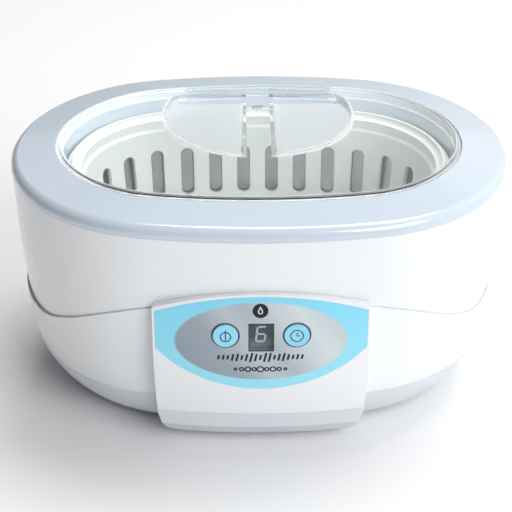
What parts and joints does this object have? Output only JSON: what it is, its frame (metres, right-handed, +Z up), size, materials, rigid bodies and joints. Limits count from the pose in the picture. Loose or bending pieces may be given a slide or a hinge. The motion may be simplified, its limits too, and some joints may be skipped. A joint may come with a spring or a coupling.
{
  "type": "ultrasonic cleaner",
  "caption": "Oval tabletop ultrasonic jewellery cleaner with a steel tank, slotted basket, clear lift-off lid and front push buttons.",
  "frame": {"origin": "middle of the overall box, on the surface that the feet stand on", "axes": "+X along the length to the user's right, +Y away from the control face, +Z up"},
  "size_m": [0.21, 0.1561, 0.1104],
  "materials": {
    "rim_plastic": "high gloss light blue-grey ABS",
    "housing_plastic": "high gloss white ABS",
    "base_plastic": "satin pale lavender grey ABS",
    "film": "printed polycarbonate film, sky blue with a silver oval",
    "key_plastic": "satin pale blue push buttons",
    "clear_plastic": "clear moulded polystyrene",
    "basket_plastic": "white polypropylene",
    "tank_steel": "pressed stainless steel",
    "screw_steel": "zinc plated",
    "soft_rubber": "matt black rubber",
    "gasket_rubber": "grey silicone rubber",
    "smoked_window": "smoked acrylic",
    "black_plastic": "black moulded plastic",
    "board": "green glass-epoxy circuit board",
    "cast_alloy": "turned aluminium",
    "piezo_ceramic": "fired lead zirconate titanate with silvered faces",
    "brass_tab": "tinned brass",
    "ferrite": "dark grey ferrite",
    "coil_tape": "yellow polyester tape over copper wire",
    "can_sleeve": "dark sleeve over an aluminium can",
    "fuse_glass": "clear glass with nickel caps",
    "terminal_plastic": "green polyamide",
    "nylon": "natural nylon",
    "cable": "grey PVC insulation"
  },
  "bodies": {
    "body": {"top_ring": "rim_plastic", "upper_housing": "housing_plastic", "lower_housing": "housing_plastic", "base_shell": "base_plastic", "tank": "tank_steel", "tank_gasket": "gasket_rubber", "ring_screws": "screw_steel", "housing_screws": "screw_steel", "panel_overlay": "film", "power_switch": "black_plastic", "timer_switch": "black_plastic", "display_window": "smoked_window", "display_module": "black_plastic", "control_board": "board", "control_board_screws": "screw_steel", "control_board_socket": "nylon", "ribbon_cable": "cable", "transducer_front_mass": "cast_alloy", "piezo_rings": "piezo_ceramic", "electrode_tabs": "brass_tab", "transducer_rear_mass": "screw_steel", "transducer_bolt": "screw_steel", "transducer_leads": "cable", "driver_board": "board", "driver_board_screws": "screw_steel", "driver_board_sockets": "nylon", "transformer_core": "ferrite", "transformer_coil": "coil_tape", "filter_capacitors": "can_sleeve", "heat_sink": "cast_alloy", "power_transistors": "black_plastic", "glass_fuse": "fuse_glass", "fuse_clips": "brass_tab", "terminal_block": "terminal_plastic", "cord_gland": "soft_rubber", "rubber_feet": "soft_rubber"},
    "lid": {"lid": "clear_plastic"},
    "basket": {"basket": "basket_plastic"},
    "power_button": {"power_button": "key_plastic", "power_plunger": "black_plastic"},
    "timer_button": {"timer_button": "key_plastic", "timer_plunger": "black_plastic"}
  },
  "joints": [
    {"name": "lid_lift", "type": "slide", "parent": "body", "child": "lid", "axis": [0, 0, 1], "range_m": [0, 0.15]},
    {"name": "basket_lift", "type": "slide", "parent": "body", "child": "basket", "axis": [0, 0, 1], "range_m": [0, 0.07]},
    {"name": "power_press", "type": "slide", "parent": "body", "child": "power_button", "axis": [0, 0.9973, -0.0732], "range_m": [0, 0.0006], "stiffness_N_per_m": 400, "springref_m": -0.002},
    {"name": "timer_press", "type": "slide", "parent": "body", "child": "timer_button", "axis": [0, 0.9973, -0.0732], "range_m": [0, 0.0006], "stiffness_N_per_m": 400, "springref_m": -0.002}
  ],
  "couplings": [
    {"joint": "basket_lift", "follows": "lid_lift", "ratio": 0.466}
  ]
}
